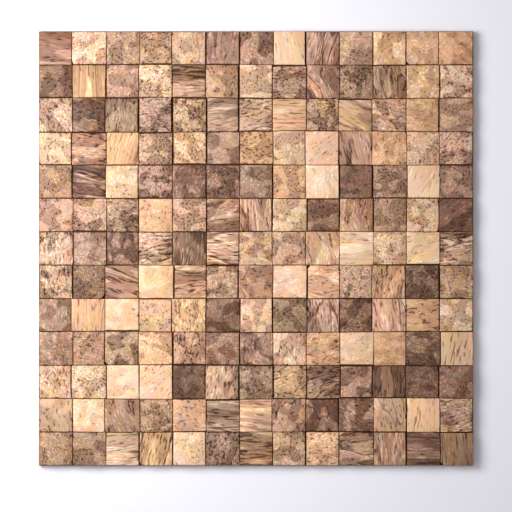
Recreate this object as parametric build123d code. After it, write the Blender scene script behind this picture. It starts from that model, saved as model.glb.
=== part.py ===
from build123d import *
import os
from math import pi, sin
from random import Random

# Square wall panel: hand-sawn chips of coconut shell glued in rows on a flat fibreboard.
# The origin is the centre of the board's back face, +Z points out of the chip face,
# and all sizes are in millimetres.

# Layout of the chips
chips_per_side = 13
chip_side = 22.88  # a chip of the usual size
joint_gap = 0.12  # the tightest joint between two chips
joint_wander = 0.7  # how far an upright joint may stray from its place, either way
row_sway = 0.6  # how far a level joint may run off its line, up or down
shortest_sway = 180.0  # length of one such wave
longest_sway = 320.0
edge_reveal = 0.56  # board that shows outside the outermost chips

# The board under the chips
board_thickness = 4.0

# Each chip is a flat-backed piece of a coconut's round shell
shell_radius = 66.0
thinnest_crown = 4.4  # height of the lowest chip at its crown
thickest_crown = 5.4
crown_offset = 1.8  # how far a crown may lie from the middle of its chip, either way

# Marks of the hand saw
corner_shortfall = 0.25  # how far a corner may fall short of its joints, either way
side_shortfall = 0.8  # how far a whole side may fall short
corner_rarity = 2  # power on the draw: the higher it is, the fewer corners fall far short
side_rarity = 7
snapped_corner_share = 0.07  # share of the chips that have lost a corner
shortest_snap = 1.2  # length lost along a side at a snapped corner
longest_snap = 3.2

# Shades of shell and the share of the chips that has each. The chips are laid without any order.
shades = {
    "cream": 0.11,
    "straw": 0.17,
    "honey": 0.10,
    "tan": 0.18,
    "hazel": 0.17,
    "taupe": 0.15,
    "umber": 0.12,
}
pattern_seed = 194

chip_pitch = chip_side + joint_gap
panel_side = chips_per_side * chip_pitch - joint_gap + 2 * edge_reveal
first_joint = -chips_per_side * chip_pitch / 2


def backing_board():
    return Box(panel_side, panel_side, board_thickness, align=(Align.CENTER, Align.CENTER, Align.MIN))


def upright_joints(hand):
    # Middles of the joints along one row. The two at the panel's edges keep their places.
    joints = [first_joint + number * chip_pitch for number in range(chips_per_side + 1)]
    for number in range(1, chips_per_side):
        joints[number] += hand.uniform(-joint_wander, joint_wander)
    return joints


def level_joints(hand):
    # Each joint between two rows as a slow wave. The two at the panel's edges stay straight.
    waves = []
    for number in range(chips_per_side + 1):
        inner = 0 < number < chips_per_side
        rise = hand.uniform(0, row_sway) if inner else 0.0
        waves.append((rise, hand.uniform(shortest_sway, longest_sway), hand.uniform(0, 2 * pi)))
    return waves


def sway(wave, x):
    rise, length, start = wave
    return rise * sin(2 * pi * x / length + start)


def bow(wave):
    # The most that a chip's straight edge leaves the wave between its two corners.
    rise, length, start = wave
    longest_edge = chip_pitch + 2 * joint_wander
    return rise * (2 * pi / length) ** 2 * longest_edge ** 2 / 8


def snap_corner(corners, number, hand):
    # The corner gives way to two points, one on each of the sides that met there.
    corner = Vector(*corners[number])
    cut = []
    for neighbour in (corners[number - 1], corners[(number + 1) % len(corners)]):
        along = (Vector(*neighbour) - corner).normalized()
        point = corner + along * hand.uniform(shortest_snap, longest_snap)
        cut.append((point.X, point.Y))
    return corners[:number] + cut + corners[number + 1:]


def chip_outline(middle, width, lower, upper, hand):
    # A four-sided outline that stays between its joints, with most corners close to them.
    left, right, low, high = [side_shortfall * hand.random() ** side_rarity for side in range(4)]
    corners = []
    for way_x, way_y, short_x, short_y, wave in (
        (-1, -1, left, low, lower),
        (1, -1, right, low, lower),
        (1, 1, right, high, upper),
        (-1, 1, left, high, upper),
    ):
        x = way_x * width / 2
        y = way_y * chip_side / 2 + sway(wave, middle + x)
        short_x += corner_shortfall * hand.random() ** corner_rarity
        short_y += corner_shortfall * hand.random() ** corner_rarity + bow(wave) / 2
        corners.append((x - way_x * short_x, y - way_y * short_y))
    if hand.random() < snapped_corner_share:
        corners = snap_corner(corners, hand.randrange(len(corners)), hand)
    return make_face(Polyline(*corners, close=True))


def shell_chip(outline, hand):
    # Sawn sides stand square to the flat back, and the face is part of the shell's round outside.
    crown = hand.uniform(thinnest_crown, thickest_crown)
    block = extrude(outline, amount=2 * crown)
    crown_x = hand.uniform(-crown_offset, crown_offset)
    crown_y = hand.uniform(-crown_offset, crown_offset)
    # The sphere lies on its side, so that its poles and seam stay clear of the chip's face.
    shell = Pos(crown_x, crown_y, crown - shell_radius) * Rot(0, 90, 0) * Sphere(shell_radius)
    return (block & shell).solid()


def lay_chips(hand):
    # Row by row from the panel's lower edge. The chips of one shade come back together.
    laid = {shade: [] for shade in shades}
    waves = level_joints(hand)
    for row in range(chips_per_side):
        y = first_joint + (row + 0.5) * chip_pitch
        joints = upright_joints(hand)
        for left, right in zip(joints, joints[1:]):
            middle = (left + right) / 2
            outline = chip_outline(middle, right - left - joint_gap, waves[row], waves[row + 1], hand)
            shade = hand.choices(list(shades), list(shades.values()))[0]
            laid[shade].append(Pos(middle, y, board_thickness) * shell_chip(outline, hand))
    return laid


os.makedirs("parts", exist_ok=True)
export_step(backing_board(), "parts/backing_board.step")
for shade, chips in lay_chips(Random(pattern_seed)).items():
    export_step(Compound(chips), f"parts/{shade}_chips.step")
    print(f"{shade}: {len(chips)} chips")
print(f"panel {panel_side:.1f} mm square, {chips_per_side ** 2} chips at {chip_pitch:.1f} mm")
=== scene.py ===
import math
import random
import bmesh
import bpy
import numpy as np
from mathutils import Matrix, Vector


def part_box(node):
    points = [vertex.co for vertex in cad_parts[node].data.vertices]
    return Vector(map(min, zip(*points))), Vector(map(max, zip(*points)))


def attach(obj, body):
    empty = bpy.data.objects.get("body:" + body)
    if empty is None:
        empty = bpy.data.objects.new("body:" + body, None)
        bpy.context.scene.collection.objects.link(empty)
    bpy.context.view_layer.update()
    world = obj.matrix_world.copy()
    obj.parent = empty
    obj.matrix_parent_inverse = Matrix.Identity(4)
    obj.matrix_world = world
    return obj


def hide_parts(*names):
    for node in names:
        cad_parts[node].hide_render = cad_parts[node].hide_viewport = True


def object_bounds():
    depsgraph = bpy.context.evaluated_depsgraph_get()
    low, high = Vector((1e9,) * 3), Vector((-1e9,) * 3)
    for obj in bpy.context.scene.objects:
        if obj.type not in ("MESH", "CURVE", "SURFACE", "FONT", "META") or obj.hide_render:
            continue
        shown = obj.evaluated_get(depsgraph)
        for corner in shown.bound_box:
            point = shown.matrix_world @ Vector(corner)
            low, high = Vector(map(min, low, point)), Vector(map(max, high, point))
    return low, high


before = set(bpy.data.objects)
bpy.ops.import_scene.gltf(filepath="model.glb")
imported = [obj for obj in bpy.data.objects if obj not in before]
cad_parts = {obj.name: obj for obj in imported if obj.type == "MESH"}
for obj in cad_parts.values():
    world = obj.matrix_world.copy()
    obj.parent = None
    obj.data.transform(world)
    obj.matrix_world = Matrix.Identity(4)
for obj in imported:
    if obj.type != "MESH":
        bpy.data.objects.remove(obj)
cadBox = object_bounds()
mm = 0.001


# Helpers that put nodes on a tree, used for geometry and shader trees alike
class NodeBench:
    def __init__(self, tree):
        self.tree = tree

    def feed(self, socket, value):
        if isinstance(value, bpy.types.NodeSocket):
            self.tree.links.new(value, socket)
        elif value is not None:
            socket.default_value = value

    def put(self, kind, settings=None, inputs=None):
        node = self.tree.nodes.new(kind)
        for name, value in (settings or {}).items():
            setattr(node, name, value)
        for name, value in (inputs or {}).items():
            self.feed(node.inputs[name], value)
        return node

    def calc(self, operation, *values, clamp=False):
        node = self.put("ShaderNodeMath", {"operation": operation, "use_clamp": clamp})
        for socket, value in zip(node.inputs, values):
            self.feed(socket, value)
        return node.outputs[0]

    def vec(self, operation, *values):
        node = self.put("ShaderNodeVectorMath", {"operation": operation})
        for socket, value in zip(node.inputs, values):
            self.feed(socket, value)
        return node.outputs["Value"] if operation == "LENGTH" else node.outputs["Vector"]

    def scaled(self, vector, amount):
        node = self.put("ShaderNodeVectorMath", {"operation": "SCALE"}, {"Scale": amount})
        self.feed(node.inputs[0], vector)
        return node.outputs["Vector"]

    def split(self, vector):
        return list(self.put("ShaderNodeSeparateXYZ", None, {0: vector}).outputs)

    def join(self, x, y, z):
        return self.put("ShaderNodeCombineXYZ", None, {"X": x, "Y": y, "Z": z}).outputs[0]

    def ease(self, value, low, high, toLow=0.0, toHigh=1.0):
        node = self.put("ShaderNodeMapRange", {"interpolation_type": "SMOOTHSTEP"})
        for socket, given in zip(node.inputs, (value, low, high, toLow, toHigh)):
            self.feed(socket, given)
        return node.outputs[0]

    def noise(self, place, stretch, shift=(0, 0, 0), detail=2.0, roughness=0.5):
        moved = self.vec("MULTIPLY_ADD", place, stretch, shift)
        inputs = {"Vector": moved, "Scale": 1.0, "Detail": detail, "Roughness": roughness}
        return self.put("ShaderNodeTexNoise", None, inputs).outputs[0]

    def swing(self, value, amount):  # noise about its middle, times an amount
        return self.calc("MULTIPLY", self.calc("SUBTRACT", value, 0.5), amount)

    def warp(self, place, stretch, shift, reach):  # a place pushed about by noise
        moved = self.vec("MULTIPLY_ADD", place, stretch, shift)
        push = self.put("ShaderNodeTexNoise", None, {"Vector": moved, "Scale": 1.0, "Detail": 1.0}).outputs[1]
        return self.vec("MULTIPLY_ADD", self.vec("SUBTRACT", push, (0.5, 0.5, 0.5)), reach, place)

    def blend(self, share, first, second):  # two colours mixed
        mix = self.put("ShaderNodeMix", {"data_type": "RGBA"}, {"Factor": share})
        self.feed(mix.inputs[6], first)
        self.feed(mix.inputs[7], second)
        return mix.outputs[2]


# Figure of the shell. Stretches are in turns per millimetre along, across and from chip to chip,
# and the starts only keep the noises apart.
figureSettings = {
    # slow swirls bend the fibres and small curls follow, each with its reach in millimetres
    "swirl": ((0.05, 0.06, 1.0), (3.1, 8.7, 0.4), (5.5, 5.5, 0.0)),
    "curl": ((0.26, 0.28, 1.0), (6.4, 2.3, 9.2), (1.2, 1.2, 0.0)),
    # the grain that each noise follows, its stretch, start, detail and roughness
    "noises": {
        "cloud": ("plain", (0.085, 0.11, 1.0), (0.0, 0.0, 0.0), 2.0, 0.5),
        "patch": ("curled", (0.05, 0.085, 1.0), (9.4, 4.4, 6.1), 1.0, 0.5),
        "streak": ("bent", (0.05, 0.85, 1.0), (5.3, 1.9, 2.2), 3.0, 0.6),
        "dash": ("curled", (0.26, 0.72, 1.0), (1.7, 6.2, 3.3), 2.0, 0.6),
        "fleck": ("curled", (0.3, 0.8, 1.0), (7.9, 2.8, 5.5), 2.0, 0.6),
        "tint": ("curled", (0.075, 0.12, 1.0), (2.6, 9.1, 8.8), 1.0, 0.5),
        "blush": ("curled", (0.065, 0.1, 1.0), (8.3, 0.7, 4.9), 1.0, 0.5),
        "vein": ("bent", (0.028, 0.085, 1.0), (4.8, 7.3, 1.1), 1.0, 0.5),
    },
    "pit": (0.36, 0.5, 1.0),
}


def shellFigure(bench, grain):
    rule = figureSettings
    grains = {"plain": grain, "bent": bench.warp(grain, *rule["swirl"])}
    grains["curled"] = bench.warp(grains["bent"], *rule["curl"])
    figure = {name: bench.noise(grains[kind], *shape) for name, (kind, *shape) in rule["noises"].items()}
    figure["vein"] = bench.calc("SUBTRACT", figure["vein"], 0.5)  # signed, so that a vein runs where it is 0
    cells = {"Vector": bench.vec("MULTIPLY", grains["curled"], rule["pit"]), "Scale": 1.0}
    figure["pit"] = bench.put("ShaderNodeTexVoronoi", None, cells).outputs["Distance"]
    return figure


# Chips: read from the frame, then carved by geometry nodes
chipSettings = {
    "cells": 42,  # cells across a chip's face, either way
    "crowding": 1.35,  # over 1 draws the cells towards the chip's rim
    "rounding": (0.12 * mm, 0.45 * mm),  # least and most a chip's rim is rounded
    "waver": 0.12 * mm,  # how far a sawn side may run inwards
    "nick": 0.8 * mm,  # depth of a bite out of the rim
    "swell": 0.16 * mm,  # slow rise and fall of a sanded face
    "dashPit": 0.1 * mm,
    "dashEdge": (0.5, 0.64),  # where a dash starts to sink and where it is deepest
    "veinGroove": 0.16 * mm,
    "grooveEdge": 0.035,  # how far from a vein its groove ends
    "draws": (0.4, 0.8, 1.3, 1.9, 2.3, 2.5),  # length of the figure along the grain, from drawn out to dotted
    "drawSpread": (0.85, 1.2),
    "veinDraw": 1.1,  # veins get fainter where the figure is shorter than this
    "turns": (0, 0, 90, 90, 90),  # usual ways that the grain lies, in degrees, besides any other
    "turnSpread": 9,
    "startReach": 400,  # how far apart in the shell two chips may come from, in millimetres
    "grainDepth": 0.8,  # how far the grain runs on from a chip's face to its foot
    "sawWave": ((0.16, 0.16, 1.0), (6.6, 3.9, 7.7), 2.0),  # stretch, start and detail
    "biteNoise": ((0.3, 0.3, 1.0), (8.2, 5.1, 2.4), 1.0),
    "biteEdge": (0.66, 0.8),
    "rimHold": 10.0,  # the higher it is, the nearer the rim the saw's marks stay
    "rollSpread": (0.25, 0.75, 0.6, 1.5),  # saw wave from and to, and the rounding's share there
    "sides": 3,  # rings of faces down a chip's sides
    "sharpTurn": math.radians(55),  # edges that turn by more are shaded sharp
    "mapFace": 0.415,  # half of a chip's face on the bake map, as a share of its tile
    "mapSide": 0.485,  # the same out to the foot of its sides
    "weld": 0.001 * mm,  # points of a solid that lie nearer are one
    "footBand": 0.01 * mm,  # points this near the board belong to a chip's foot
    "seed": 7,
}

# What each shade draws from: tone is brightness, warmth runs from grey to orange, blush from olive to pink,
# and the rest are amounts of figure
shadeLots = {
    "cream": {"tone": (0.75, 0.82), "warmth": (0.0, 0.6), "blush": (-0.7, 0.2), "dashes": (0.1, 0.6),
              "streaks": (0.1, 0.3), "veins": (0.0, 0.3), "patches": (0.1, 0.5), "flecks": (0.0, 0.5),
              "pits": (0.0, 0.2)},
    "straw": {"tone": (0.66, 0.73), "warmth": (-0.1, 0.8), "blush": (-0.7, 0.4), "dashes": (0.3, 1.0),
              "streaks": (0.1, 0.6), "veins": (0.0, 0.7), "patches": (0.3, 0.9), "flecks": (0.0, 0.8),
              "pits": (0.0, 0.8)},
    "honey": {"tone": (0.62, 0.7), "warmth": (0.8, 1.6), "blush": (-0.3, 0.5), "dashes": (0.2, 1.0),
              "streaks": (0.2, 0.9), "veins": (0.0, 0.6), "patches": (0.2, 0.8), "flecks": (0.0, 0.8),
              "pits": (0.0, 0.5)},
    "tan": {"tone": (0.54, 0.62), "warmth": (-0.4, 0.6), "blush": (-0.6, 0.7), "dashes": (0.5, 1.0),
            "streaks": (0.1, 0.7), "veins": (0.0, 1.0), "patches": (0.4, 1.0), "flecks": (0.2, 1.0),
            "pits": (0.0, 1.0)},
    "hazel": {"tone": (0.48, 0.55), "warmth": (-0.3, 0.6), "blush": (-0.7, 0.7), "dashes": (0.5, 1.0),
              "streaks": (0.2, 0.8), "veins": (0.0, 1.0), "patches": (0.4, 1.0), "flecks": (0.3, 1.0),
              "pits": (0.0, 1.0)},
    "taupe": {"tone": (0.45, 0.51), "warmth": (-0.9, 0.0), "blush": (-0.8, 0.7), "dashes": (0.3, 1.0),
              "streaks": (0.2, 0.8), "veins": (0.0, 1.0), "patches": (0.4, 1.0), "flecks": (0.3, 1.0),
              "pits": (0.0, 0.8)},
    "umber": {"tone": (0.3, 0.4), "warmth": (-0.7, 0.2), "blush": (-0.7, 0.7), "dashes": (0.2, 0.9),
              "streaks": (0.1, 0.7), "veins": (0.0, 0.8), "patches": (0.3, 0.9), "flecks": (0.3, 1.0),
              "pits": (0.0, 0.5)},
}
shadeNodes = {shade: shade + "_chips" for shade in shadeLots}
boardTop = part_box("backing_board")[1].z


def islands(nodeName):
    bm = bmesh.new()
    bm.from_mesh(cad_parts[nodeName].data)
    bmesh.ops.remove_doubles(bm, verts=bm.verts, dist=chipSettings["weld"])
    found, seen = [], set()
    for start in bm.verts:
        if start.index in seen:
            continue
        seen.add(start.index)
        queue, points = [start], []
        while queue:
            vert = queue.pop()
            points.append(vert.co.copy())
            for edge in vert.link_edges:
                other = edge.other_vert(vert)
                if other.index not in seen:
                    seen.add(other.index)
                    queue.append(other)
        found.append(points)
    bm.free()
    return found


def fitDome(points):
    # centre and radius of the ball that the chip's face lies on, worked out in millimetres
    spots = np.array([list(p) for p in points]) / mm
    table = np.hstack([2 * spots, np.ones((len(spots), 1))])
    answer = np.linalg.lstsq(table, (spots ** 2).sum(1), rcond=None)[0]
    centre = answer[:3]
    return Vector(centre * mm), math.sqrt(answer[3] + (centre ** 2).sum()) * mm


def readChip(points):
    footTop = boardTop + chipSettings["footBand"]
    foot = [p for p in points if p.z < footTop]
    face = [p for p in points if p.z >= footTop]
    middle = sum(foot, Vector()) / len(foot)
    foot.sort(key=lambda p: math.atan2(p.y - middle.y, p.x - middle.x))
    corners = [Vector((p.x - middle.x, p.y - middle.y, 0)) for p in foot]
    chip = {"middle": middle, "breaks": (0.9, 0.9), "bulges": (Vector(), Vector())}
    if len(corners) == 5:  # turn it so that the snapped corner comes third, then split the snap in two
        sides = [(corners[(i + 1) % 5] - corners[i]).length for i in range(5)]
        first = sides.index(min(sides)) - 2
        corners = [corners[(first + i) % 5] for i in range(5)]
        rightEnd, topEnd = corners[2], corners[3]
        snap = (rightEnd + topEnd) / 2
        corners = [corners[0], corners[1], snap, corners[4]]
        breaks, bulges = [], []
        for start, end in ((corners[1], rightEnd), (corners[3], topEnd)):
            share = (end - start).length / ((end - start).length + (snap - end).length)
            breaks.append(share)
            bulges.append(end - start.lerp(snap, share))
        chip["breaks"], chip["bulges"] = breaks, bulges
    chip["corners"] = corners
    centre, chip["radius"] = fitDome(face)
    chip["dome"] = centre - Vector((middle.x, middle.y, 0))
    return chip


def setAttribute(mesh, name, kind, values):
    attribute = mesh.attributes.new(name, kind, "POINT")
    flat = np.array([list(v) if kind == "FLOAT_VECTOR" else v for v in values], np.float32).ravel()
    attribute.data.foreach_set("vector" if kind == "FLOAT_VECTOR" else "value", flat)


def tilesAcross(chipCount):
    return math.ceil(math.sqrt(chipCount + 1))


def chipPoints(shade):
    chips = [readChip(points) for points in islands(shadeNodes[shade])]
    chips.sort(key=lambda chip: (round(chip["middle"].y, 2), chip["middle"].x))
    rule, lot = chipSettings, shadeLots[shade]
    hand = random.Random(f"{rule['seed']}-{shade}")
    mesh = bpy.data.meshes.new(shade + "Points")
    mesh.from_pydata([(c["middle"].x, c["middle"].y, 0) for c in chips], [], [])
    for number in range(4):
        setAttribute(mesh, f"corner{number}", "FLOAT_VECTOR", [c["corners"][number] for c in chips])
    for number, side in enumerate(("Right", "Top")):
        setAttribute(mesh, "bulge" + side, "FLOAT_VECTOR", [c["bulges"][number] for c in chips])
        setAttribute(mesh, "break" + side, "FLOAT", [c["breaks"][number] for c in chips])
    setAttribute(mesh, "dome", "FLOAT_VECTOR", [c["dome"] for c in chips])
    setAttribute(mesh, "domeRadius", "FLOAT", [c["radius"] for c in chips])
    turns = []
    for chip in chips:
        usual = hand.choice((*rule["turns"], hand.uniform(0, 180)))
        turns.append(math.radians(usual + hand.gauss(0, rule["turnSpread"])))
    setAttribute(mesh, "turn", "FLOAT", turns)
    across = tilesAcross(len(chips))
    tiles = [Vector((number % across, number // across, 0)) for number in range(len(chips) + 1)]
    setAttribute(mesh, "tile", "FLOAT_VECTOR", tiles[:-1])
    setAttribute(mesh, "footTile", "FLOAT_VECTOR", [tiles[-1]] * len(chips))  # the hidden feet share a tile
    far = rule["startReach"]
    starts = [[hand.uniform(-far, far) for axis in range(3)] for c in chips]
    setAttribute(mesh, "start", "FLOAT_VECTOR", starts)
    draws = [hand.choice(rule["draws"]) * hand.uniform(*rule["drawSpread"]) for c in chips]
    setAttribute(mesh, "draw", "FLOAT", draws)
    setAttribute(mesh, "rounding", "FLOAT", [hand.uniform(*rule["rounding"]) for c in chips])
    draw = {name: [hand.uniform(*span) for c in chips] for name, span in lot.items()}
    faint = [min(1, rule["veinDraw"] / length) for length in draws]
    draw["veins"] = [amount * share for amount, share in zip(draw["veins"], faint)]
    setAttribute(mesh, "lotA", "FLOAT_VECTOR", zip(draw["tone"], draw["warmth"], draw["blush"]))
    setAttribute(mesh, "lotB", "FLOAT_VECTOR", zip(draw["dashes"], draw["streaks"], draw["veins"]))
    setAttribute(mesh, "lotC", "FLOAT_VECTOR", zip(draw["patches"], draw["flecks"], draw["pits"]))
    return mesh


def chipTree():
    rule = chipSettings
    tree = bpy.data.node_groups.new("carveShellChips", "GeometryNodeTree")
    sockets = tree.interface
    sockets.new_socket("Geometry", in_out="INPUT", socket_type="NodeSocketGeometry")
    for name, kind in (("Cells", "Int"), ("Crowding", "Float"), ("Waver", "Float"), ("Nick", "Float"),
                       ("Swell", "Float"), ("Dash Pit", "Float"), ("Vein Groove", "Float"),
                       ("Board Top", "Float"), ("Tiles Across", "Int"), ("Material", "Material")):
        sockets.new_socket(name, in_out="INPUT", socket_type="NodeSocket" + kind)
    sockets.new_socket("Geometry", in_out="OUTPUT", socket_type="NodeSocketGeometry")
    bench = NodeBench(tree)
    calc, vec = bench.calc, bench.vec
    given = bench.put("NodeGroupInput").outputs

    def store(geometry, name, kind, value, domain="POINT"):
        node = bench.put("GeometryNodeStoreNamedAttribute", {"data_type": kind, "domain": domain},
                         {"Geometry": geometry, "Name": name, "Value": value})
        return node.outputs[0]

    def known(name, kind="FLOAT"):
        return bench.put("GeometryNodeInputNamedAttribute", {"data_type": kind}, {"Name": name}).outputs[0]

    # a square blank from -1 to 1, with its cells drawn towards the rim
    vertices = calc("ADD", given["Cells"], 1.0)
    grid = {"Size X": 2.0, "Size Y": 2.0, "Vertices X": vertices, "Vertices Y": vertices}
    blank = bench.put("GeometryNodeMeshGrid", None, grid).outputs[0]
    x, y = bench.split(bench.put("GeometryNodeInputPosition").outputs[0])[:2]

    def crowd(across):
        inside = calc("SUBTRACT", 1.0, calc("ABSOLUTE", across))
        outward = calc("SUBTRACT", 1.0, calc("POWER", inside, given["Crowding"]))
        return calc("MULTIPLY", outward, calc("SIGN", across))

    blank = bench.put("GeometryNodeSetPosition", None,
                      {"Geometry": blank, "Position": bench.join(crowd(x), crowd(y), 0.0)}).outputs[0]
    # sides go down to -1 in rings, and the last ring closes the foot
    faces = bench.put("GeometryNodeInputMeshEdgeNeighbors").outputs[0]
    rim = calc("COMPARE", faces, 1.0, 0.1)
    for ring in range(rule["sides"] + 1):
        down = bench.join(0, 0, -1.0 / rule["sides"] if ring < rule["sides"] else 0.0)
        skirt = bench.put("GeometryNodeExtrudeMesh", {"mode": "EDGES"},
                          {"Mesh": blank, "Selection": rim, "Offset": down, "Offset Scale": 1.0})
        blank, rim = skirt.outputs["Mesh"], skirt.outputs["Top"]
    blank = store(blank, "foot", "FLOAT", skirt.outputs["Side"], "FACE")
    blank = bench.put("GeometryNodeSetPosition", None,
                      {"Geometry": blank, "Selection": rim, "Position": bench.join(0, 0, -1)}).outputs[0]
    blank = bench.put("GeometryNodeMergeByDistance", None, {"Geometry": blank, "Distance": 1e-4}).outputs[0]
    blank = store(blank, "blank", "FLOAT_VECTOR", bench.put("GeometryNodeInputPosition").outputs[0])

    # one blank for each chip, then its four sides
    laid = bench.put("GeometryNodeInstanceOnPoints", None, {"Points": given["Geometry"], "Instance": blank})
    chips = bench.put("GeometryNodeRealizeInstances", None, {"Geometry": laid.outputs[0]}).outputs[0]
    middle = store(chips, "middle", "FLOAT_VECTOR",
                   vec("SUBTRACT", bench.put("GeometryNodeInputPosition").outputs[0],
                       known("blank", "FLOAT_VECTOR")))
    blankX, blankY, blankZ = bench.split(known("blank", "FLOAT_VECTOR"))
    u = calc("MULTIPLY_ADD", blankX, 0.5, 0.5)
    v = calc("MULTIPLY_ADD", blankY, 0.5, 0.5)

    def between(first, last, share):
        return vec("ADD", first, bench.scaled(vec("SUBTRACT", last, first), share))

    def tent(share, peak):
        up = calc("DIVIDE", share, peak)
        return calc("MINIMUM", up, calc("DIVIDE", calc("SUBTRACT", 1.0, share), calc("SUBTRACT", 1.0, peak)))

    corner = [known(f"corner{number}", "FLOAT_VECTOR") for number in range(4)]
    plan = between(between(corner[0], corner[1], u), between(corner[3], corner[2], u), v)
    topBulge = calc("MULTIPLY", v, tent(u, known("breakTop")))
    rightBulge = calc("MULTIPLY", u, tent(v, known("breakRight")))
    plan = vec("ADD", plan, bench.scaled(known("bulgeTop", "FLOAT_VECTOR"), topBulge))
    plan = vec("ADD", plan, bench.scaled(known("bulgeRight", "FLOAT_VECTOR"), rightBulge))

    # grain in millimetres, turned for each chip and started somewhere else in the shell
    turned = bench.put("ShaderNodeVectorRotate", {"rotation_type": "Z_AXIS"},
                       {"Vector": bench.scaled(plan, 1 / mm), "Angle": known("turn")}).outputs[0]
    depth = bench.join(0.0, 0.0, calc("MULTIPLY", blankZ, rule["grainDepth"]))
    drawn = vec("MULTIPLY", turned, bench.join(known("draw"), 1.0, 1.0))
    grain = vec("ADD", vec("ADD", drawn, known("start", "FLOAT_VECTOR")), depth)
    figure = shellFigure(bench, grain)

    # sawn sides waver inwards, with a bite here and there
    wave = bench.noise(grain, *rule["sawWave"])
    bite = bench.ease(bench.noise(grain, *rule["biteNoise"]), *rule["biteEdge"])
    inset = calc("ADD", calc("MULTIPLY", wave, given["Waver"]), calc("MULTIPLY", bite, given["Nick"]))
    nearRim = calc("MAXIMUM", calc("ABSOLUTE", blankX), calc("ABSOLUTE", blankY))
    inset = calc("MULTIPLY", inset, calc("POWER", nearRim, rule["rimHold"]))
    reach = calc("MAXIMUM", vec("LENGTH", plan), 1 * mm)
    plan = bench.scaled(plan, calc("SUBTRACT", 1.0, calc("DIVIDE", inset, reach)))

    # the face lies on its ball, rolls off at the rim and carries the figure's relief
    dome = known("dome", "FLOAT_VECTOR")
    domeX, domeY, domeZ = bench.split(dome)
    planX, planY = bench.split(plan)[:2]
    offX, offY = calc("SUBTRACT", planX, domeX), calc("SUBTRACT", planY, domeY)
    flat = calc("ADD", calc("MULTIPLY", offX, offX), calc("MULTIPLY", offY, offY))
    radius = known("domeRadius")
    height = calc("SQRT", calc("SUBTRACT", calc("MULTIPLY", radius, radius), flat))
    height = calc("ADD", height, domeZ)
    roll = calc("MULTIPLY", known("rounding"), bench.ease(wave, *rule["rollSpread"]))
    half = vec("LENGTH", bench.scaled(vec("SUBTRACT", corner[1], corner[0]), 0.5))

    def rollOff(across):
        inside = calc("MULTIPLY", calc("SUBTRACT", 1.0, calc("ABSOLUTE", across)), half)
        short = calc("MAXIMUM", calc("SUBTRACT", roll, inside), 0.0)
        kept = calc("SUBTRACT", calc("MULTIPLY", roll, roll), calc("MULTIPLY", short, short))
        return calc("SUBTRACT", roll, calc("SQRT", calc("MAXIMUM", kept, 0.0)))

    height = calc("SUBTRACT", height, calc("MAXIMUM", rollOff(blankX), rollOff(blankY)))
    lotB = bench.split(known("lotB", "FLOAT_VECTOR"))
    dashes, veins = lotB[0], lotB[2]
    groove = bench.ease(calc("ABSOLUTE", figure["vein"]), 0.0, rule["grooveEdge"], 1.0, 0.0)
    groove = calc("MULTIPLY", groove, veins)
    dent = calc("MULTIPLY", bench.ease(figure["dash"], *rule["dashEdge"]), dashes)
    relief = calc("MULTIPLY", figure["cloud"], calc("MULTIPLY", given["Swell"], -1.0))
    relief = calc("SUBTRACT", relief, calc("MULTIPLY", dent, given["Dash Pit"]))
    relief = calc("SUBTRACT", relief, calc("MULTIPLY", groove, given["Vein Groove"]))
    height = calc("ADD", height, relief)
    tall = calc("ADD", 1.0, blankZ)
    low = calc("MULTIPLY", given["Board Top"], calc("SUBTRACT", 1.0, tall))
    level = calc("ADD", calc("MULTIPLY", height, tall), low)
    placeX, placeY = bench.split(known("middle", "FLOAT_VECTOR"))[:2]
    place = bench.join(calc("ADD", planX, placeX), calc("ADD", planY, placeY), level)

    done = store(middle, "grain", "FLOAT_VECTOR", grain)
    done = store(done, "rim", "FLOAT", nearRim)
    side = calc("MULTIPLY", blankZ, -1.0)
    done = store(done, "side", "FLOAT", side)
    # map for the bake: a tile for each chip, with its sides folded out around its face
    faceShare, sideShare = rule["mapFace"], rule["mapSide"]
    spread = calc("MULTIPLY_ADD", side, sideShare - faceShare, faceShare)
    spread = calc("MAXIMUM", spread, calc("MULTIPLY", known("foot"), sideShare))
    tile = between(known("tile", "FLOAT_VECTOR"), known("footTile", "FLOAT_VECTOR"), known("foot"))
    outward = bench.scaled(bench.join(blankX, blankY, 0.0), spread)
    spot = vec("ADD", vec("ADD", tile, (0.5, 0.5, 0.0)), outward)
    spot = bench.scaled(spot, calc("DIVIDE", 1.0, given["Tiles Across"]))
    done = store(done, "OFBake", "FLOAT2", spot, "CORNER")
    done = bench.put("GeometryNodeSetPosition", None, {"Geometry": done, "Position": place}).outputs[0]
    spare = ["corner0", "corner1", "corner2", "corner3", "bulgeRight", "bulgeTop", "breakRight", "breakTop",
             "dome", "domeRadius", "turn", "start", "draw", "rounding", "blank", "middle", "tile", "footTile",
             "foot"]
    for name in spare:
        done = bench.put("GeometryNodeRemoveAttribute", None, {"Geometry": done, "Name": name}).outputs[0]
    done = bench.put("GeometryNodeSetShadeSmooth", {"domain": "FACE"}, {"Geometry": done}).outputs[0]
    turn = bench.put("GeometryNodeInputMeshEdgeAngle").outputs["Unsigned Angle"]
    sharp = calc("GREATER_THAN", turn, rule["sharpTurn"])
    done = bench.put("GeometryNodeSetShadeSmooth", {"domain": "EDGE"},
                     {"Geometry": done, "Selection": sharp, "Shade Smooth": False}).outputs[0]
    done = bench.put("GeometryNodeRealizeInstances", None, {"Geometry": done}).outputs[0]
    done = bench.put("GeometryNodeSetMaterial", None,
                     {"Geometry": done, "Material": given["Material"]}).outputs[0]
    bench.put("NodeGroupOutput", None, {"Geometry": done})
    return tree


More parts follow.
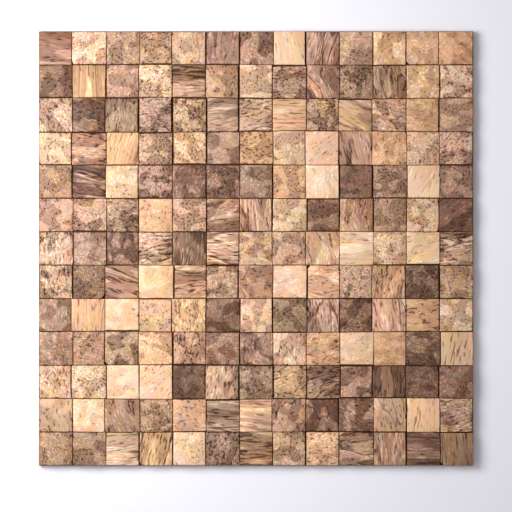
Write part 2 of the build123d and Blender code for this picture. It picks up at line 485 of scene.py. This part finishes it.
def carveChips(shade, tree, material):
    piece = bpy.data.objects.new(shade + "Chips", chipPoints(shade))
    bpy.context.scene.collection.objects.link(piece)
    carve = piece.modifiers.new("carve", "NODES")
    carve.node_group = tree
    values = {"Cells": chipSettings["cells"], "Crowding": chipSettings["crowding"],
              "Waver": chipSettings["waver"], "Nick": chipSettings["nick"], "Swell": chipSettings["swell"],
              "Dash Pit": chipSettings["dashPit"], "Vein Groove": chipSettings["veinGroove"],
              "Board Top": boardTop, "Tiles Across": tilesAcross(len(piece.data.vertices)),
              "Material": material}
    for item in tree.interface.items_tree:
        if item.in_out == "INPUT" and item.name in values:
            carve[item.identifier] = values[item.name]
    bpy.context.view_layer.update()
    carved = bpy.data.meshes.new_from_object(piece.evaluated_get(bpy.context.evaluated_depsgraph_get()))
    piece.modifiers.clear()
    points, piece.data = piece.data, carved
    bpy.data.meshes.remove(points)
    carved.name = piece.name
    return piece


# Shell finish: one group carries the figure for all the shades
shellSettings = {
    # brightness and the colour, written as it shows on a screen, that goes with it
    "ramp": ((0.12, (46, 25, 14)), (0.19, (76, 43, 24)), (0.27, (98, 64, 44)), (0.39, (129, 94, 73)),
             (0.53, (166, 129, 106)), (0.69, (210, 169, 139)), (0.80, (236, 196, 164)),
             (0.89, (251, 221, 193)), (0.96, (255, 238, 220))),
    "warm": (1.08, 0.985, 0.80),
    "grey": (0.94, 1.0, 1.07),
    "pink": (1.05, 0.95, 0.98),
    "olive": (0.95, 1.02, 0.88),
    # side: the colour that rims and sides are darkened towards, for the sawn side's own darker colour and
    # painted shade in the joints between chips
    "side": (0.8, 0.66, 0.52),
    "glue": (96, 62, 40),
    "cloud": 0.22,  # how far each part of the figure moves the brightness
    "patch": 0.18,
    "streak": 0.36,
    "dash": 0.3,
    "fleck": 0.17,
    "pit": 0.2,
    "vein": 0.26,
    "lip": 0.12,  # the pale edge along a vein
    "patchEdge": (0.47, 0.53),  # where each part of the figure starts to show and where it shows in full
    "pitEdge": (0.16, 0.4),
    "veinEdge": (0.006, 0.02),
    "lipOffset": 0.034,  # how far a lip lies from its vein
    "dashFloor": 0.63,  # what the noise has to pass to be a dash on a chip that draws none,
    "dashMore": -0.13,  # and what is added to that on a chip that draws them all
    "fleckFloor": 0.66,
    "fleckMore": -0.11,
    "softness": 0.09,  # how softly dashes and flecks end
    "crowding": 0.05,  # how far a patch drives dashes off and draws flecks
    "tintSwing": 4.5,  # how far the hue moves within a chip
    "blushSwing": 5.0,
    # darkening of the rim and sides: the sawn side's own colour and painted shade in the joints between chips
    "rimSawnAndShade": (0.975, 1.0, 0.0, 0.25),  # place from and to, and how far the side's colour has come there
    "sideSawnAndShade": (0.0, 0.2, 0.0, 0.75),
    "glueLine": (0.94, 0.995),  # where down the side the glue starts
    "roughness": 0.54,
    "dashRoughness": 0.14,
    "cloudRoughness": 0.12,
    "streakHeight": 0.6,  # how far each part of the figure moves the bump
    "dashHeight": -0.8,
    "pitHeight": 0.8,
    "bumpStrength": 0.5,
    "bumpDepth": 0.15 * mm,
    "specular": 0.3,
}


def linear(colour):
    shares = [value / 255 for value in colour]
    return [s / 12.92 if s <= 0.04045 else ((s + 0.055) / 1.055) ** 2.4 for s in shares] + [1.0]


def shellGroup():
    rule = shellSettings
    group = bpy.data.node_groups.new("coconutShellFigure", "ShaderNodeTree")
    for name, kind in (("Grain", "Vector"), ("Lot A", "Vector"), ("Lot B", "Vector"), ("Lot C", "Vector"),
                       ("Rim", "Float"), ("Side", "Float")):
        group.interface.new_socket(name, in_out="INPUT", socket_type="NodeSocket" + kind)
    for name, kind in (("Color", "Color"), ("Roughness", "Float"), ("Height", "Float")):
        group.interface.new_socket(name, in_out="OUTPUT", socket_type="NodeSocket" + kind)
    bench = NodeBench(group)
    calc = bench.calc
    given = bench.put("NodeGroupInput").outputs
    figure = shellFigure(bench, given["Grain"])
    tone, warmth, blush = bench.split(given["Lot A"])
    dashes, streaks, veins = bench.split(given["Lot B"])
    patches, flecks, pits = bench.split(given["Lot C"])

    # dashes crowd on the darker side of a patch, flecks on the paler one
    patch = bench.ease(figure["patch"], *rule["patchEdge"])

    def marks(name, amount, crowding):
        floor = calc("MULTIPLY_ADD", amount, rule[name + "More"], rule[name + "Floor"])
        floor = calc("MULTIPLY_ADD", patch, crowding, floor)
        return bench.ease(figure[name], floor, calc("ADD", floor, rule["softness"]))

    def line(distance, edge, amount):
        return calc("MULTIPLY", bench.ease(distance, *rule[edge], 1.0, 0.0), amount)

    dash = marks("dash", dashes, rule["crowding"])
    fleck = marks("fleck", flecks, -rule["crowding"])
    pit = line(figure["pit"], "pitEdge", pits)
    vein = line(calc("ABSOLUTE", figure["vein"]), "veinEdge", veins)
    lip = line(calc("ABSOLUTE", calc("SUBTRACT", figure["vein"], rule["lipOffset"])), "veinEdge", veins)

    bright = calc("ADD", tone, bench.swing(figure["cloud"], rule["cloud"]))
    bright = calc("ADD", bright, calc("MULTIPLY", bench.swing(patch, rule["patch"]), patches))
    bright = calc("ADD", bright, calc("MULTIPLY", bench.swing(figure["streak"], rule["streak"]), streaks))
    for mask, amount in ((fleck, rule["fleck"]), (dash, -rule["dash"]), (vein, -rule["vein"]),
                         (lip, rule["lip"]), (pit, -rule["pit"])):
        bright = calc("ADD", bright, calc("MULTIPLY", mask, amount))
    ramp = bench.put("ShaderNodeValToRGB", None, {"Fac": bright})
    stops = ramp.color_ramp.elements
    while len(stops) > 1:
        stops.remove(stops[-1])
    for number, (place, colour) in enumerate(rule["ramp"]):
        stop = stops[0] if number == 0 else stops.new(place)
        stop.position = place
        stop.color = linear(colour)
    colour = ramp.outputs[0]

    def tinted(colour, amount, tint):
        return bench.vec("MULTIPLY", colour, bench.blend(amount, (1, 1, 1, 1), (*tint, 1)))

    hue = calc("ADD", warmth, bench.swing(figure["tint"], rule["tintSwing"]))
    rose = calc("ADD", blush, bench.swing(figure["blush"], rule["blushSwing"]))
    for amount, above, below in ((hue, "warm", "grey"), (rose, "pink", "olive")):
        colour = tinted(colour, calc("MULTIPLY", amount, 1.0, clamp=True), rule[above])
        colour = tinted(colour, calc("MULTIPLY", amount, -1.0, clamp=True), rule[below])
    # rims and sides darken towards the side colour: the sawn side's own darker colour plus painted shade in
    # the joints between chips
    rimSawnAndShade = bench.ease(given["Rim"], *rule["rimSawnAndShade"])
    sideSawnAndShade = bench.ease(given["Side"], *rule["sideSawnAndShade"])
    colour = tinted(colour, calc("ADD", rimSawnAndShade, sideSawnAndShade), rule["side"])
    colour = bench.blend(bench.ease(given["Side"], *rule["glueLine"]), colour, linear(rule["glue"]))

    rough = calc("MULTIPLY_ADD", dash, rule["dashRoughness"], rule["roughness"])
    rough = calc("ADD", rough, bench.swing(figure["cloud"], rule["cloudRoughness"]))
    height = calc("MULTIPLY", dash, rule["dashHeight"])
    height = calc("MULTIPLY_ADD", figure["streak"], rule["streakHeight"], height)
    height = calc("SUBTRACT", calc("SUBTRACT", height, vein), calc("MULTIPLY", pit, rule["pitHeight"]))
    bench.put("NodeGroupOutput", None, {"Color": colour, "Roughness": rough, "Height": height})
    return group


def newMaterial(name, specular):
    material = bpy.data.materials.new(name)
    material.use_nodes = True
    shader = material.node_tree.nodes["Principled BSDF"]
    shader.inputs["Specular IOR Level"].default_value = specular
    return material, NodeBench(material.node_tree), shader


def addBump(bench, shader, rule, height):
    inputs = {"Strength": rule["bumpStrength"], "Distance": rule["bumpDepth"], "Height": height}
    bench.feed(shader.inputs["Normal"], bench.put("ShaderNodeBump", None, inputs).outputs[0])


def shellMaterial(shade, group):
    material, bench, shader = newMaterial(shade + "Shell", shellSettings["specular"])

    def read(name):
        return bench.put("ShaderNodeAttribute", {"attribute_name": name})

    figure = bench.put("ShaderNodeGroup", {"node_tree": group}, None)
    for socket, name in (("Grain", "grain"), ("Lot A", "lotA"), ("Lot B", "lotB"), ("Lot C", "lotC")):
        bench.feed(figure.inputs[socket], read(name).outputs["Vector"])
    for socket, name in (("Rim", "rim"), ("Side", "side")):
        bench.feed(figure.inputs[socket], read(name).outputs["Fac"])
    bench.feed(shader.inputs["Base Color"], figure.outputs["Color"])
    bench.feed(shader.inputs["Roughness"], figure.outputs["Roughness"])
    addBump(bench, shader, shellSettings, figure.outputs["Height"])
    return material


# Board: fibreboard with eased arrises
boardSettings = {
    "arris": 0.35 * mm,
    "arrisCuts": 3,
    "body": (172, 139, 103),
    "fibre": (140, 106, 74),
    "glue": (88, 58, 38),
    "glueFilm": (0.12 * mm, 0.02 * mm),  # depth under the top where the glue starts, and where it covers
    # stretch in turns per millimetre, start, detail and roughness
    "fibreNoise": ((1.6, 1.6, 3.0), (0, 0, 0), 4.0, 0.7),
    "layerNoise": ((0.05, 0.05, 2.2), (4, 2, 7), 2.0, 0.5),
    "fibreEdge": (0.35, 0.7),
    "layerSwing": 0.6,
    "roughness": 0.65,
    "fibreRoughness": 0.2,
    "bumpStrength": 0.4,
    "bumpDepth": 0.1 * mm,
    "specular": 0.25,
}


def fibreboardMaterial():
    rule = boardSettings
    material, bench, shader = newMaterial("fibreboard", rule["specular"])
    place = bench.put("ShaderNodeTexCoord").outputs["Object"]
    fibre = bench.noise(bench.scaled(place, 1 / mm), *rule["fibreNoise"])
    layer = bench.noise(bench.scaled(place, 1 / mm), *rule["layerNoise"])
    share = bench.calc("ADD", bench.ease(fibre, *rule["fibreEdge"]), bench.swing(layer, rule["layerSwing"]),
                       clamp=True)
    colour = bench.blend(share, linear(rule["body"]), linear(rule["fibre"]))
    filmStart, filmFull = [boardTop - depth for depth in rule["glueFilm"]]
    glued = bench.ease(bench.split(place)[2], filmStart, filmFull)
    bench.feed(shader.inputs["Base Color"], bench.blend(glued, colour, linear(rule["glue"])))
    rough = bench.calc("MULTIPLY_ADD", fibre, rule["fibreRoughness"], rule["roughness"])
    bench.feed(shader.inputs["Roughness"], rough)
    addBump(bench, shader, rule, fibre)
    return material


def makeBoard(material):
    low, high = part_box("backing_board")
    bm = bmesh.new()
    bmesh.ops.create_cube(bm, size=1.0)
    place = Matrix.Translation((low + high) / 2) @ Matrix.Diagonal((*(high - low), 1))
    bmesh.ops.transform(bm, matrix=place, verts=bm.verts)
    bmesh.ops.bevel(bm, geom=bm.edges[:], offset=boardSettings["arris"], segments=boardSettings["arrisCuts"],
                    profile=0.5, affect="EDGES")
    mesh = bpy.data.meshes.new("backingBoard")
    bm.to_mesh(mesh)
    bm.free()
    mesh.materials.append(material)
    board = bpy.data.objects.new("backingBoard", mesh)
    bpy.context.scene.collection.objects.link(board)
    return board


# Stage: pale floor, a near lamp on the left, a soft high sun and a camera straight above
stageSettings = {
    "frameWidth": 0.352,  # what the picture takes in at the chip faces
    "cameraHeight": 1.25,
    "cameraY": -0.0052,
    "sensor": 36,
    "floorSize": 12,
    "floorDrop": 0.1 * mm,  # how far the floor lies under the board
    "floorColour": (0.925, 0.915, 0.98),
    "floorRoughness": 0.7,
    "floorSpecular": 0.1,
    "backdropColour": (0.93, 0.925, 0.97),
    "fade": (0.27, 0.95),  # where the floor starts to pass into the backdrop, and where it has
    "sunStrength": 0.52,
    "sunFrom": (-0.45, 0.12, 1.0),
    "sunSpread": 46,
    "lampStrength": 2.95,
    "lampAt": (-0.3, 0.1, 0.42),
    "lampSize": 0.3,
    "world": 0.27,
}


def seenOnly(bench):  # 1 for rays that show the backdrop, 0 for those that carry its light
    path = bench.put("ShaderNodeLightPath").outputs
    mirrored = bench.calc("MAXIMUM", path["Is Glossy Ray"], path["Is Transmission Ray"])
    return bench.calc("MAXIMUM", path["Is Camera Ray"], mirrored)


def addLight(name, kind, strength, towards):
    light = bpy.data.objects.new(name, bpy.data.lights.new(name, kind))
    light.data.energy = strength
    light.rotation_euler = Vector(towards).to_track_quat("Z", "Y").to_euler()
    bpy.context.scene.collection.objects.link(light)
    return light


def makeStage():
    stage = stageSettings
    scene = bpy.context.scene
    scene.view_settings.view_transform = "Standard"
    camera = bpy.data.objects.new("camera", bpy.data.cameras.new("camera"))
    scene.collection.objects.link(camera)
    camera.location = (0, stage["cameraY"], cadBox[1].z + stage["cameraHeight"])
    camera.data.sensor_width = stage["sensor"]
    camera.data.lens = stage["sensor"] * stage["cameraHeight"] / stage["frameWidth"]
    scene.camera = camera

    bpy.ops.mesh.primitive_plane_add(size=stage["floorSize"], location=(0, 0, -stage["floorDrop"]))
    floor = bpy.context.object
    floor.name = "floor"
    paint, bench, shader = newMaterial("paleFloor", stage["floorSpecular"])
    shader.inputs["Base Color"].default_value = (*stage["floorColour"], 1)
    shader.inputs["Roughness"].default_value = stage["floorRoughness"]
    away = bench.vec("LENGTH", bench.put("ShaderNodeTexCoord").outputs["Object"])
    glow = bench.put("ShaderNodeEmission", None, {"Color": (*stage["backdropColour"], 1)}).outputs[0]
    passed = bench.calc("MULTIPLY", bench.ease(away, *stage["fade"]), seenOnly(bench))
    blend = bench.put("ShaderNodeMixShader", None, {0: passed, 1: shader.outputs[0], 2: glow}).outputs[0]
    bench.feed(paint.node_tree.nodes["Material Output"].inputs["Surface"], blend)
    floor.data.materials.append(paint)

    sun = addLight("sun", "SUN", stage["sunStrength"], stage["sunFrom"])
    sun.data.angle = math.radians(stage["sunSpread"])
    lamp = addLight("side", "AREA", stage["lampStrength"], stage["lampAt"])
    lamp.data.size = stage["lampSize"]
    lamp.location = stage["lampAt"]
    lamp.visible_camera = False

    world = bpy.data.worlds.new("studio")
    world.use_nodes = True
    scene.world = world
    bench = NodeBench(world.node_tree)
    backdrop = world.node_tree.nodes["Background"]
    bench.feed(backdrop.inputs["Color"], (*stage["backdropColour"], 1))
    strength = bench.calc("MULTIPLY_ADD", seenOnly(bench), 1.0 - stage["world"], stage["world"])
    bench.feed(backdrop.inputs["Strength"], strength)


makeStage()
print("stage set")
tree = chipTree()
group = shellGroup()
for shade in shadeLots:
    chips = carveChips(shade, tree, shellMaterial(shade, group))
    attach(chips, "root")
    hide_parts(shadeNodes[shade])
    print("carved", chips.name, len(chips.data.polygons), "faces")
board = makeBoard(fibreboardMaterial())
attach(board, "root")
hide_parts("backing_board")
print("board cut")
